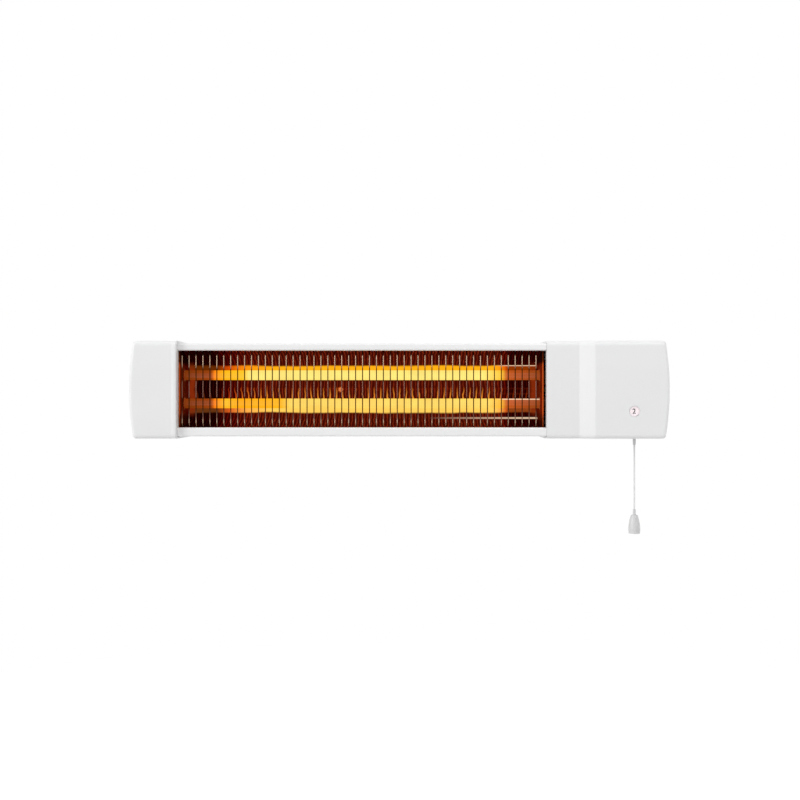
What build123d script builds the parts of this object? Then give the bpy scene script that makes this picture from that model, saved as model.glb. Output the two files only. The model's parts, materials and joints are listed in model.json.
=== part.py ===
"""Wall-mounted quartz heater with two tubes, a wire guard and a pull-cord switch.

Millimetres. The wall is the plane Y = 0 and the room is towards -Y. X runs along
the heater and +Z is up. The origin is midway between the two wall screws.
"""
from build123d import *
from math import cos, radians, sin, sqrt
import os

# Shared by several pieces
overcut = 1.0                # cutters reach this far past the faces that they cut
running_gap = 0.05           # radial clearance of a shaft or screw in its hole
fit_gap = 0.3                # clearance between moulded and folded pieces
sheet_gap = 0.2              # clearance of a sheet or hub beside its neighbour

# Casing: a folded sheet-steel trough, open towards the room
wall_gap = 34.0              # wall to the back of the end covers
casing_depth = 61.8
casing_top = 45.7
casing_bottom = -47.5
casing_left_x = -232.0
casing_right_x = 156.0
casing_sheet = 1.0
casing_chamfer = 12.0        # slanted rear corners
bend_radius = 2.0
opening_half_height = 38.5
opening_left_x = -222.5
opening_right_x = 146.5
lip_depth = 5.0              # rails turn back into the opening by this much

# Moulded ends
shell_wall = 1.8
cover_thickness = 2.2
cap_top = 48.2
left_cap_length = 48.0
left_cap_proud = 5.0         # in front of the rails
housing_length = 121.8
low_panel_length = 32.5
ramp_length = 15.0
main_panel_rise = 6.5
end_bow = 4.2                # the end faces bulge by this much
top_radius = 5.0             # long front edge along the top
bottom_radius = 4.0          # long front edge along the bottom
end_radius = 3.6
cover_edge = 0.8             # chamfer round the back of the covers
rim_height = 0.8             # raised rim along the left cap's inner edge
rim_width = 3.8

# Screws and bosses of the ends
screw_radius = 1.5
screw_head_radius = 3.0
screw_head_height = 1.6
screw_bevel = 0.6
boss_radius = 4.0
cap_screw_inset = 9.3        # from the outermost point of the end
housing_screw_inset = 10.7
outer_screw_spacing = 72.0
inner_screw_inset = 5.2      # from the opening's edge into the end
inner_screw_spacing = 44.0
boss_screw_depth = 10.0
screw_tip = 1.0              # a screw's end past, or short of, what it reaches
screw_cross = 4.0            # length of the slots in a cross head
screw_slot = 0.8
screw_slot_depth = 0.8
tab_margin = 3.0             # end plate tab past its screws

# Wall bracket and hinge bracket
bracket_sheet = 1.5
bracket_corner = 3.0
wall_bracket_width = 140.0
wall_bracket_height = 36.0
wall_hole_spacing = 100.0
wall_hole_radius = 2.75
pivot_wall_distance = 20.0
ear_radius = 9.0
hinge_bracket_height = 28.0
pivot_washer_thickness = 1.0
pivot_washer_radius = 7.0
pivot_bolt_radius = 2.5
pivot_bolt_length = 15.0
bolt_head_width = 8.0
bolt_head_height = 3.5
wing_hub_radius = 5.0
wing_hub_height = 5.0
wing_span = 26.0
wing_tip_radius = 4.0
wing_thickness = 2.4
rivet_radius = 2.0
rivet_head_radius = 3.2
rivet_head_height = 1.4
rivet_bevel = 0.9            # slanted edge of a rivet's head
rivet_spacing_x = 96.0
rivet_spacing_z = 16.0

# Vent slots in the slanted rear corners of the casing
vent_length = 24.0
vent_height = 3.6
vent_pitch = 34.0
vent_count = 10

# Reflector: two troughs and a ridge, in the section seen along X
reflector_sheet = 0.6
trough_gap = 4.8             # casing's inner face to the troughs' floor
trough_z = 11.8
ridge_height = 7.9           # in front of the troughs' floor
knee_height = 10.7
knee_z = 29.1
mouth_z = 39.0
mouth_setback = 11.5         # behind the rails' front
ridge_bulge = 0.9
floor_bulge = 0.9
flank_bulge = 1.7
reflector_rivet_x = -62.0
spacer_radius = 4.0
shoulder_reach = 2.5         # spacer's step in front of the trough's floor

# End plates that close the reflector and carry the tubes
plate_sheet = 1.0
left_plate_x = -222.2        # outer face
right_plate_x = 144.2        # outer face
plate_tab_height = 56.0

# Quartz tubes with their coils, insulators and terminals
tube_spacing = 29.0
tube_height = 26.8           # in front of the troughs' floor
tube_radius = 5.0
tube_wall = 1.0
coil_radius = 3.5
coil_wall = 0.8
coil_left_x = -193.0
coil_right_x = 111.5
lead_rod_radius = 0.8
ceramic_neck_radius = 6.5
ceramic_radius = 8.0
ceramic_length = 15.0
ceramic_socket_depth = 11.0
ceramic_chamfer = 1.0
terminal_radius = 2.8
terminal_length = 9.0
terminal_screw_radius = 1.6
terminal_screw_height = 1.5

# Wire guard
wire_radius = 0.5
wire_count = 52
first_wire_x = -218.6
last_wire_x = 136.5
wire_front_half_height = 33.8
wire_setback = 3.5           # middle of the wires behind the rails' front
rod_setback = 9.5
rod_z = 41.5
rod_radius = 1.25
rod_overhang = 2.0           # past the outer faces of the end plates

# Switch: one shaft along Y carries the dial, the ratchet wheel and the cam
cord_x = 238.0
cord_setback = 24.6          # behind the main panel's front
cord_radius = 0.9
drum_radius = 11.7           # to the middle of the cord
drum_flange_radius = 13.2
drum_width = 9.0
drum_groove = 3.2
window_x = 233.0
window_z = -22.4
window_radius = 5.0
window_flange_radius = 6.6
window_flange_height = 0.8
window_edge = 0.4
numeral_radius = 13.0        # middle of the dial's numbers
dial_radius = 18.0
dial_thickness = 1.2
dial_gap = 1.2               # dial to the window's flange
dial_hub_radius = 4.6
dial_hub_height = 1.6
shaft_radius = 3.0
ratchet_teeth = 6
ratchet_radius = 9.5
ratchet_root_radius = 7.0
ratchet_width = 5.0
ratchet_collar_radius = 4.5
ratchet_face_angle = 12.0    # steepness of a tooth's driven face
ratchet_offset = 0.4         # wheel to drum
pawl_thickness = 0.6
pawl_width = 4.0
pawl_clearance = 0.4
pawl_post_radius = 1.2
pawl_post_angle = 150.0
pawl_arc = -60.0
switch_wall = 2.0
switch_half_width = 20.5
switch_front_gap = 2.4       # dial to the switch body
switch_depth = 33.0
switch_lug_reach = 29.0
switch_lug_height = 12.0
switch_lug_thickness = 3.0
switch_screw_offset = 25.0
switch_boss_radius = 3.4
switch_corner = 2.5
switch_inner_corner = 1.5
switch_cord_clearance = 0.9
spring_radius = 6.8
spring_wire = 1.0
spring_length = 4.2
drum_hub_radius = 5.6
cam_radius = 11.0
cam_root_radius = 8.0
cam_width = 4.0
contact_thickness = 0.6
contact_width = 5.0
contact_tab_length = 7.0
contact_radius = 12.5        # from the shaft to the contact leaves

# Pull cord, its guide and its knob
bush_flange_radius = 4.0
bush_flange_height = 1.2
bush_nozzle_radius = 1.6
bush_nozzle_length = 7.0
bush_tip_radius = 1.4
bush_bore_radius = 1.0
cord_visible_length = 72.2   # from the housing to the ferrule
ferrule_radius = 1.4
ferrule_length = 6.0
ferrule_chamfer = 0.25
knob_length = 18.6
knob_wall = 1.4
knob_neck_length = 9.6       # solid part above the knob's hollow
knob_shoulder_radius = 5.2
knot_radius = 2.2
knob_top_radius = 3.3
knob_top_edge = 0.35
knob_wide_radius = 5.95
knob_wide_at = 14.6          # below the knob's top
knob_bottom_radius = 5.6

# Mains connection
block_x = 176.0
block_z = 31.0
block_pole_pitch = 9.0
block_depth = 16.0
block_height = 18.0
block_screw_radius = 2.0
block_screw_depth = 8.0
block_screw_sink = 1.5       # screw tops below the block's face
block_slot = 1.6             # between two poles
inlet_x = 176.0
inlet_z = 2.0
inlet_radius = 5.0
grommet_flange_radius = 7.5
grommet_flange_height = 1.6
grommet_inner_flange_radius = 6.5
grommet_bore_radius = 3.6
earth_screw_x = 152.0
earth_head_height = 2.4
wire_lead_radius = 1.3
lead_bend_radius = 2.6
lead_exit = 10.0             # straight run out of a tube's terminal
neutral_gap = 3.8            # casing's inner face to the lead behind the reflector
neutral_z = 30.0
lead_step = 7.0              # spacing of the way points beside a terminal

# Places that follow from the sizes above
cover_rear_y = -wall_gap
casing_rear_y = cover_rear_y - cover_thickness
casing_front_y = casing_rear_y - casing_depth
casing_inner_rear_y = casing_rear_y - casing_sheet
cap_bottom = casing_bottom - fit_gap - shell_wall
cap_middle_z = (cap_top + cap_bottom) / 2
left_cap_front_y = casing_front_y - left_cap_proud
low_panel_front_y = casing_front_y - fit_gap - shell_wall
main_panel_front_y = low_panel_front_y - main_panel_rise
cap_end_x = opening_left_x - left_cap_length
housing_end_x = opening_right_x + housing_length
pivot_y = -pivot_wall_distance
wall_ear_x = wall_bracket_width / 2
hinge_ear_x = wall_ear_x - bracket_sheet - pivot_washer_thickness
cap_screw_x = cap_end_x + cap_screw_inset
housing_screw_x = housing_end_x - housing_screw_inset
trough_y = casing_inner_rear_y - trough_gap
ridge_y = trough_y - ridge_height
knee_y = trough_y - knee_height
mouth_y = casing_front_y + mouth_setback
tube_y = trough_y - tube_height
wire_front_y = casing_front_y + wire_setback
rod_y = casing_front_y + rod_setback
neutral_y = casing_inner_rear_y - neutral_gap
cord_y = main_panel_front_y + cord_setback
plate_front_y = casing_front_y + lip_depth + 2 * sheet_gap
tube_z = tube_spacing / 2
axis_x = cord_x - drum_radius
axis_z = window_z + sqrt(numeral_radius**2 - (window_x - axis_x) ** 2)
panel_inner_y = main_panel_front_y + shell_wall
dial_front_y = panel_inner_y + window_flange_height + dial_gap
dial_rear_y = dial_front_y + dial_thickness
switch_front_y = dial_rear_y + switch_front_gap
switch_rear_y = switch_front_y + switch_depth
drum_front_y = cord_y - drum_width / 2
drum_rear_y = cord_y + drum_width / 2
ratchet_rear_y = drum_front_y - ratchet_offset
ratchet_front_y = ratchet_rear_y - ratchet_width
knob_top_z = cap_bottom - cord_visible_length - ferrule_length

os.makedirs("parts", exist_ok=True)


def save(piece, label):
    """Labels a finished piece and writes it to its own file."""
    piece.label = label
    export_step(piece, f"parts/{label}.step")


def facing(y, x=0.0, z=0.0):
    """A sketch plane that faces the room, with its own origin at (x, y, z)."""
    return Plane(origin=(x, y, z), x_dir=(1, 0, 0), z_dir=(0, -1, 0))


def casing_path(inset):
    """The casing's folded section as (y, z) points from lip to lip, moved inwards by inset."""
    front = casing_front_y + inset
    rear = casing_rear_y - inset
    top = casing_top - inset
    bottom = casing_bottom + inset
    slant = casing_chamfer - inset * (2 - sqrt(2))
    lip_y = casing_front_y + lip_depth
    lip_z = opening_half_height + inset
    return [
        (lip_y, lip_z),
        (front, lip_z),
        (front, top),
        (rear - slant, top),
        (rear, top - slant),
        (rear, bottom + slant),
        (rear - slant, bottom),
        (front, bottom),
        (front, -lip_z),
        (lip_y, -lip_z),
    ]


def bowed_outline(inner_x, outer_x, inset):
    """Outline of a moulded end seen from the room."""
    outward = 1 if outer_x > inner_x else -1
    top, bottom = cap_top - inset, cap_bottom + inset
    corner_x = outer_x - outward * (end_bow + inset)
    with BuildSketch() as outline:
        with BuildLine():
            Polyline((corner_x, bottom), (inner_x, bottom), (inner_x, top), (corner_x, top))
            ThreePointArc((corner_x, top), (outer_x - outward * inset, cap_middle_z), (corner_x, bottom))
        make_face()
    return outline.sketch


def end_form(inner_x, outer_x, rear_y, stations, inset):
    """A moulded end: rounded sections at the stations (x, front_y), with a bowed, rounded outer face."""
    top, bottom = cap_top - inset, cap_bottom + inset
    upper, lower = top_radius - inset, bottom_radius - inset
    with BuildPart() as form:
        for near, far in zip(stations, stations[1:]):
            for x, front in (near, far):
                with BuildSketch(Plane.YZ.offset(x)):
                    with BuildLine():
                        Polyline(
                            (front + upper, top),
                            (rear_y, top),
                            (rear_y, bottom),
                            (front + lower, bottom),
                        )
                        RadiusArc((front + lower, bottom), (front, bottom + lower), lower)
                        Line((front, bottom + lower), (front, top - upper))
                        RadiusArc((front, top - upper), (front + upper, top), upper)
                    make_face()
            loft(ruled=True)
        with BuildSketch(facing(0)):
            add(bowed_outline(inner_x, outer_x, inset))
        extrude(amount=overcut - min(front for _, front in stations), mode=Mode.INTERSECT)
        end_face = form.faces().sort_by(Axis.X)[-1 if outer_x > inner_x else 0]
        all_but_rear_edge = end_face.edges().sort_by(Axis.Y)[:-1]
        fillet(all_but_rear_edge, end_radius - inset)
    return form.part


def outer_screw_places(screw_x):
    return [(screw_x, cap_middle_z + side * outer_screw_spacing / 2) for side in (1, -1)]


def inner_screw_places(inner_x, outward):
    return [(inner_x + outward * inner_screw_inset, side * inner_screw_spacing / 2) for side in (1, -1)]


def end_shell(inner_x, outer_x, stations, screw_x):
    """Open-backed moulded end with a passage for the casing and two screw bosses."""
    outward = 1 if outer_x > inner_x else -1
    wall_x = inner_x + outward * shell_wall
    hollow_stations = [(wall_x, stations[0][1] + shell_wall)]
    hollow_stations += [(x, front + shell_wall) for x, front in stations[1:]]
    form = end_form(inner_x, outer_x, casing_rear_y, stations, 0)
    hollow = end_form(wall_x, outer_x, casing_rear_y + overcut, hollow_stations, shell_wall)
    with BuildPart() as shell:
        add(form)
        add(hollow, mode=Mode.SUBTRACT)
        with BuildSketch(Plane.YZ.offset(inner_x - outward * overcut)):
            Polygon(*casing_path(-fit_gap), align=None)
        extrude(amount=outward * (shell_wall + 2 * overcut), mode=Mode.SUBTRACT)
        boss_length = casing_rear_y - stations[-1][1] - shell_wall / 2
        with BuildSketch(facing(casing_rear_y)):
            with Locations(*outer_screw_places(screw_x)):
                Circle(boss_radius)
        extrude(amount=boss_length)
        with BuildSketch(facing(casing_rear_y)):
            with Locations(*outer_screw_places(screw_x)):
                Circle(screw_radius + running_gap)
        extrude(amount=boss_screw_depth, mode=Mode.SUBTRACT)
    return shell.part


def rear_cover(inner_x, outer_x, screw_x):
    """Flat plate that closes the back of a moulded end and clamps the casing."""
    outward = 1 if outer_x > inner_x else -1
    with BuildPart() as cover:
        with BuildSketch(facing(cover_rear_y)):
            add(bowed_outline(inner_x, outer_x, 0))
        extrude(amount=cover_thickness)
        outer_face = cover.faces().sort_by(Axis.X)[-1 if outward > 0 else 0]
        fillet(outer_face.edges().filter_by(Axis.Y), end_radius)
        chamfer(cover.faces().sort_by(Axis.Y)[-1].edges(), cover_edge)
        with BuildSketch(facing(cover_rear_y)):
            with Locations(*outer_screw_places(screw_x), *inner_screw_places(inner_x, outward)):
                Circle(screw_radius + running_gap)
        extrude(amount=cover_thickness, mode=Mode.SUBTRACT)
    return cover.part


def cover_screws(inner_x, outer_x, screw_x):
    """Four pan-head screws: two into the bosses, two through the casing and the end plate's tab."""
    outward = 1 if outer_x > inner_x else -1
    tab_grip = cover_thickness + casing_sheet + plate_sheet + screw_tip
    with BuildPart() as screws:
        for places, length in (
            (outer_screw_places(screw_x), cover_thickness + boss_screw_depth - screw_tip),
            (inner_screw_places(inner_x, outward), tab_grip),
        ):
            with BuildSketch(facing(cover_rear_y)):
                with Locations(*places):
                    Circle(screw_radius)
            extrude(amount=length)
            with BuildSketch(facing(cover_rear_y)):
                with Locations(*places):
                    Circle(screw_head_radius)
            extrude(amount=-screw_head_height)
        heads = screws.faces().filter_by(Plane.XZ).group_by(Axis.Y)[-1]
        chamfer(heads.edges(), screw_bevel)
        with BuildSketch(facing(cover_rear_y + screw_head_height)):
            places = outer_screw_places(screw_x) + inner_screw_places(inner_x, outward)
            with Locations(*places):
                Rectangle(screw_cross, screw_slot)
                Rectangle(screw_slot, screw_cross)
        extrude(amount=screw_slot_depth, mode=Mode.SUBTRACT)
    return screws.part


# Wall bracket: a channel whose two ears carry the tilt bolts
with BuildPart() as wall_bracket:
    with BuildSketch(facing(0)):
        RectangleRounded(wall_bracket_width, wall_bracket_height, bracket_corner)
        with Locations((-wall_hole_spacing / 2, 0), (wall_hole_spacing / 2, 0)):
            Circle(wall_hole_radius, mode=Mode.SUBTRACT)
    extrude(amount=bracket_sheet)
    for side in (1, -1):
        with BuildSketch(Plane.YZ.offset(side * wall_ear_x)):
            with Locations((-bracket_sheet / 2, 0)):
                Rectangle(bracket_sheet, wall_bracket_height - 2 * bracket_corner)
            with Locations((pivot_y, 0)):
                Circle(ear_radius)
            make_hull()
            with Locations((pivot_y, 0)):
                Circle(pivot_bolt_radius + running_gap, mode=Mode.SUBTRACT)
        extrude(amount=-side * bracket_sheet)
save(wall_bracket.part, "wall_bracket")

# Hinge bracket: the narrower channel riveted to the casing
with BuildPart() as hinge_bracket:
    with BuildSketch(facing(casing_rear_y + bracket_sheet)):
        RectangleRounded(2 * hinge_ear_x, hinge_bracket_height, bracket_corner)
        with GridLocations(rivet_spacing_x, rivet_spacing_z, 2, 2):
            Circle(rivet_radius + running_gap, mode=Mode.SUBTRACT)
    extrude(amount=bracket_sheet)
    for side in (1, -1):
        with BuildSketch(Plane.YZ.offset(side * hinge_ear_x)):
            with Locations((casing_rear_y + bracket_sheet / 2, 0)):
                Rectangle(bracket_sheet, hinge_bracket_height - 2 * bracket_corner)
            with Locations((pivot_y, 0)):
                Circle(ear_radius)
            make_hull()
            with Locations((pivot_y, 0)):
                Circle(pivot_bolt_radius + running_gap, mode=Mode.SUBTRACT)
        extrude(amount=-side * bracket_sheet)
save(hinge_bracket.part, "hinge_bracket")

with BuildPart() as hinge_rivets:
    grip = bracket_sheet + casing_sheet
    for start, length, radius in (
        (casing_rear_y + bracket_sheet + rivet_head_height, rivet_head_height, rivet_head_radius),
        (casing_rear_y + bracket_sheet, grip, rivet_radius),
        (casing_inner_rear_y, rivet_head_height, rivet_head_radius),
    ):
        with BuildSketch(facing(start)):
            with GridLocations(rivet_spacing_x, rivet_spacing_z, 2, 2):
                Circle(radius)
        extrude(amount=length)
    domes = hinge_rivets.faces().filter_by(Plane.XZ).group_by(Axis.Y)[-1]
    chamfer(domes.edges(), rivet_bevel)
save(hinge_rivets.part, "hinge_rivets")

# Tilt pivots: hexagon bolt, friction washer between the ears, wing nut outside
with BuildPart() as tilt_bolts:
    head_x = hinge_ear_x - bracket_sheet
    with BuildSketch(Plane.YZ.offset(head_x)):
        with Locations((pivot_y, 0)):
            RegularPolygon(bolt_head_width / 2, 6, major_radius=False)
    extrude(amount=-bolt_head_height)
    with BuildSketch(Plane.YZ.offset(head_x)):
        with Locations((pivot_y, 0)):
            Circle(pivot_bolt_radius)
    extrude(amount=pivot_bolt_length)
    mirror(about=Plane.YZ)
save(tilt_bolts.part, "tilt_bolts")

with BuildPart() as tilt_washers:
    with BuildSketch(Plane.YZ.offset(hinge_ear_x)):
        with Locations((pivot_y, 0)):
            Circle(pivot_washer_radius)
            Circle(pivot_bolt_radius + running_gap, mode=Mode.SUBTRACT)
    extrude(amount=pivot_washer_thickness)
    mirror(about=Plane.YZ)
save(tilt_washers.part, "tilt_washers")

with BuildPart() as wing_nuts:
    with BuildSketch(Plane.YZ.offset(wall_ear_x)):
        with Locations((pivot_y, 0)):
            Circle(wing_hub_radius)
    extrude(amount=wing_hub_height)
    wing_reach = wing_span / 2 - wing_tip_radius
    with BuildSketch(Plane.XZ.offset(-pivot_y - wing_thickness / 2)):
        for side in (1, -1):
            with Locations((wall_ear_x + wing_hub_height / 2, side * wing_hub_radius / 2)):
                Circle(wing_hub_height / 2)
            with Locations((wall_ear_x + wing_hub_height + wing_tip_radius / 2, side * wing_reach)):
                Circle(wing_tip_radius)
        make_hull()
        with Locations((wall_ear_x + wing_hub_height + wing_tip_radius, 0)):
            Circle(wing_hub_radius, mode=Mode.SUBTRACT)
    extrude(amount=wing_thickness)
    with BuildSketch(Plane.YZ.offset(wall_ear_x)):
        with Locations((pivot_y, 0)):
            Circle(pivot_bolt_radius + running_gap)
    extrude(amount=wing_span, mode=Mode.SUBTRACT)
    mirror(about=Plane.YZ)
save(wing_nuts.part, "wing_nuts")

# Casing: one folded sheet with vent slots, rivet holes and screw holes
with BuildPart() as main_casing:
    with BuildSketch(Plane.YZ.offset(casing_left_x)):
        with BuildLine():
            skin = FilletPolyline(*casing_path(0), radius=bend_radius)
            inside = FilletPolyline(*casing_path(casing_sheet), radius=bend_radius - casing_sheet)
            Line(skin @ 0, inside @ 0)
            Line(skin @ 1, inside @ 1)
        make_face()
    extrude(amount=casing_right_x - casing_left_x)
    vent_middle_x = (opening_left_x + opening_right_x) / 2
    slant_middle = casing_chamfer / 2
    with BuildSketch(facing(casing_rear_y + overcut)):
        for row_z in (casing_top - slant_middle, casing_bottom + slant_middle):
            with Locations((vent_middle_x, row_z)):
                with GridLocations(vent_pitch, 0, vent_count, 1):
                    SlotOverall(vent_length, vent_height)
    extrude(amount=casing_chamfer + 2 * overcut, mode=Mode.SUBTRACT)
    with BuildSketch(facing(casing_rear_y)):
        with GridLocations(rivet_spacing_x, rivet_spacing_z, 2, 2):
            Circle(rivet_radius + running_gap)
        with Locations(*inner_screw_places(opening_left_x, -1), *inner_screw_places(opening_right_x, 1)):
            Circle(screw_radius + running_gap)
        with Locations((earth_screw_x, 0)):
            Circle(screw_radius + running_gap)
    extrude(amount=casing_sheet, mode=Mode.SUBTRACT)
save(main_casing.part, "main_casing")


def bulged(start, end, bulge):
    """Arc between two (y, z) points that bulges towards the wall."""
    span = Vector(*end) - Vector(*start)
    across = Vector(span.Y, -span.X).normalized()
    if across.X < 0:
        across = across * -1
    middle = (Vector(*start) + Vector(*end)) * 0.5 + across * bulge
    return ThreePointArc(start, (middle.X, middle.Y), end)


# Reflector: polished sheet with a trough behind each tube
with BuildPart() as reflector:
    with BuildSketch(Plane.YZ.offset(left_plate_x + plate_sheet)):
        with BuildLine():
            bulged((ridge_y, 0), (trough_y, trough_z), ridge_bulge)
            bulged((trough_y, trough_z), (knee_y, knee_z), floor_bulge)
            bulged((knee_y, knee_z), (mouth_y, mouth_z), flank_bulge)
            mirror(about=Plane.XZ)
            offset(amount=reflector_sheet, side=Side.RIGHT)
        make_face()
    extrude(amount=right_plate_x - left_plate_x - 2 * plate_sheet)
    with BuildSketch(facing(casing_inner_rear_y)):
        with Locations((reflector_rivet_x, 0)):
            Circle(rivet_radius + running_gap)
    extrude(amount=casing_inner_rear_y - ridge_y + overcut, mode=Mode.SUBTRACT)
save(reflector.part, "reflector")

with BuildPart() as reflector_rivet:
    shoulder_y = trough_y - shoulder_reach
    for start, end, radius in (
        (casing_inner_rear_y, shoulder_y, spacer_radius),
        (shoulder_y, ridge_y, rivet_radius),
        (ridge_y, ridge_y - rivet_head_height, rivet_head_radius),
    ):
        with BuildSketch(facing(start, reflector_rivet_x)):
            Circle(radius)
        extrude(amount=start - end)
    chamfer(reflector_rivet.faces().sort_by(Axis.Y)[0].edges(), rivet_bevel)
save(reflector_rivet.part, "reflector_rivet")


def end_plate(outer_x, inner_x, outward):
    """Plate across the trough with holes for tubes, guard rods and the neutral lead, and a screw tab."""
    top = casing_top - casing_sheet - sheet_gap
    bottom = casing_bottom + casing_sheet + sheet_gap
    with BuildPart() as plate:
        with BuildSketch(Plane.YZ.offset(outer_x)):
            with BuildLine():
                Polyline(
                    (plate_front_y, top),
                    (casing_inner_rear_y - casing_chamfer, top),
                    (casing_inner_rear_y, top - casing_chamfer),
                    (casing_inner_rear_y, bottom + casing_chamfer),
                    (casing_inner_rear_y - casing_chamfer, bottom),
                    (plate_front_y, bottom),
                    close=True,
                )
            make_face()
            with Locations((tube_y, tube_z), (tube_y, -tube_z)):
                Circle(ceramic_neck_radius + running_gap, mode=Mode.SUBTRACT)
            with Locations((rod_y, rod_z), (rod_y, -rod_z)):
                Circle(rod_radius + running_gap, mode=Mode.SUBTRACT)
            with Locations((neutral_y, neutral_z)):
                Circle(wire_lead_radius + running_gap, mode=Mode.SUBTRACT)
        extrude(amount=-outward * plate_sheet)
        tab_end_x = inner_x + outward * (inner_screw_inset + tab_margin)
        with BuildSketch(facing(casing_inner_rear_y)):
            with Locations(((outer_x + tab_end_x) / 2, 0)):
                Rectangle(abs(tab_end_x - outer_x), plate_tab_height)
            with Locations(*inner_screw_places(inner_x, outward)):
                Circle(screw_radius + running_gap, mode=Mode.SUBTRACT)
            if outward > 0:
                with Locations((earth_screw_x, 0)):
                    Circle(screw_radius + running_gap, mode=Mode.SUBTRACT)
        extrude(amount=plate_sheet)
    return plate.part


with BuildPart() as left_end_plate:
    add(end_plate(left_plate_x, opening_left_x, -1))
save(left_end_plate.part, "left_end_plate")

with BuildPart() as right_end_plate:
    add(end_plate(right_plate_x, opening_right_x, 1))
save(right_end_plate.part, "right_end_plate")

# Quartz tubes and, inside them, the coils with their straight lead-out rods
tube_left_x = left_plate_x - ceramic_socket_depth
tube_right_x = right_plate_x + ceramic_socket_depth
for label, z in (("upper", tube_z), ("lower", -tube_z)):
    with BuildPart() as quartz_tube:
        with BuildSketch(Plane.YZ.offset(tube_left_x)):
            with Locations((tube_y, z)):
                Circle(tube_radius)
                Circle(tube_radius - tube_wall, mode=Mode.SUBTRACT)
        extrude(amount=tube_right_x - tube_left_x)
    save(quartz_tube.part, f"{label}_quartz_tube")

    rod_left_x = left_plate_x - ceramic_length - terminal_length / 2
    rod_right_x = right_plate_x + ceramic_length + terminal_length / 2
    with BuildPart() as heating_coil:
        for start, end, radius, bore in (
            (rod_left_x, coil_left_x, lead_rod_radius, 0),
            (coil_left_x, coil_left_x + coil_wall, coil_radius, 0),
            (coil_left_x, coil_right_x, coil_radius, coil_radius - coil_wall),
            (coil_right_x - coil_wall, coil_right_x, coil_radius, 0),
            (coil_right_x, rod_right_x, lead_rod_radius, 0),
        ):
            with BuildSketch(Plane.YZ.offset(start)):
                with Locations((tube_y, z)):
                    Circle(radius)
                    if bore:
                        Circle(bore, mode=Mode.SUBTRACT)
            extrude(amount=end - start)
    save(heating_coil.part, f"{label}_heating_coil")


def ceramics(outer_x, outward):
    """The two insulators outside one end plate: neck in the plate, socket for the tube."""
    steps = (
        (-plate_sheet, 0, ceramic_neck_radius, Mode.ADD),
        (0, ceramic_length, ceramic_radius, Mode.ADD),
        (-plate_sheet, ceramic_socket_depth, tube_radius + running_gap, Mode.SUBTRACT),
        (ceramic_socket_depth, ceramic_length, lead_rod_radius + running_gap, Mode.SUBTRACT),
    )
    with BuildPart() as pair:
        for start, end, radius, mode in steps:
            with BuildSketch(Plane.YZ.offset(outer_x + outward * start)):
                with Locations((tube_y, tube_z), (tube_y, -tube_z)):
                    Circle(radius)
            extrude(amount=outward * (end - start), mode=mode)
        outer_faces = pair.faces().filter_by(Plane.YZ).group_by(Axis.X)[-1 if outward > 0 else 0]
        rims = outer_faces.edges().filter_by(lambda edge: edge.radius > ceramic_neck_radius)
        chamfer(rims, ceramic_chamfer)
    return pair.part


with BuildPart() as left_tube_ceramics:
    add(ceramics(left_plate_x, -1))
save(left_tube_ceramics.part, "left_tube_ceramics")

with BuildPart() as right_tube_ceramics:
    add(ceramics(right_plate_x, 1))
save(right_tube_ceramics.part, "right_tube_ceramics")

with BuildPart() as tube_terminals:
    for outer_x, outward in ((left_plate_x, -1), (right_plate_x, 1)):
        start_x = outer_x + outward * ceramic_length
        middle_x = start_x + outward * terminal_length / 2
        with BuildSketch(Plane.YZ.offset(start_x)):
            with Locations((tube_y, tube_z), (tube_y, -tube_z)):
                Circle(terminal_radius)
        extrude(amount=outward * terminal_length)
        with BuildSketch(facing(tube_y)):
            with Locations((middle_x, tube_z), (middle_x, -tube_z)):
                Circle(terminal_screw_radius)
        extrude(amount=terminal_radius + terminal_screw_height)
        with BuildSketch(Plane.YZ.offset(start_x)):
            with Locations((tube_y, tube_z), (tube_y, -tube_z)):
                Circle(lead_rod_radius + running_gap)
        extrude(amount=outward * (terminal_length / 2 + running_gap), mode=Mode.SUBTRACT)
save(tube_terminals.part, "tube_terminals")

# Guard: upright wires bent back behind the rails and welded to two cross rods
with BuildPart() as guard_wire:
    with BuildLine(Plane.YZ) as wire_line:
        Polyline(
            (rod_y, rod_z),
            (wire_front_y, wire_front_half_height),
            (wire_front_y, -wire_front_half_height),
            (rod_y, -rod_z),
        )
    with BuildSketch(Plane(origin=wire_line.line @ 0, z_dir=wire_line.line % 0)):
        Circle(wire_radius)
    sweep(transition=Transition.RIGHT)

wire_pitch = (last_wire_x - first_wire_x) / (wire_count - 1)
with BuildPart() as wire_guard:
    with BuildSketch(Plane.YZ.offset(left_plate_x - rod_overhang)):
        with Locations((rod_y, rod_z), (rod_y, -rod_z)):
            Circle(rod_radius)
    extrude(amount=right_plate_x - left_plate_x + 2 * rod_overhang)
    with Locations(*[(first_wire_x + wire_pitch * index, 0, 0) for index in range(wire_count)]):
        add(guard_wire.part)
save(wire_guard.part, "wire_guard")

# Moulded ends
left_cap_stations = [
    (opening_left_x, left_cap_front_y - rim_height),
    (opening_left_x - rim_width, left_cap_front_y - rim_height),
    (opening_left_x - rim_width - rim_height, left_cap_front_y),
    (cap_end_x, left_cap_front_y),
]
with BuildPart() as left_end_cap:
    add(end_shell(opening_left_x, cap_end_x, left_cap_stations, cap_screw_x))
save(left_end_cap.part, "left_end_cap")

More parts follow.
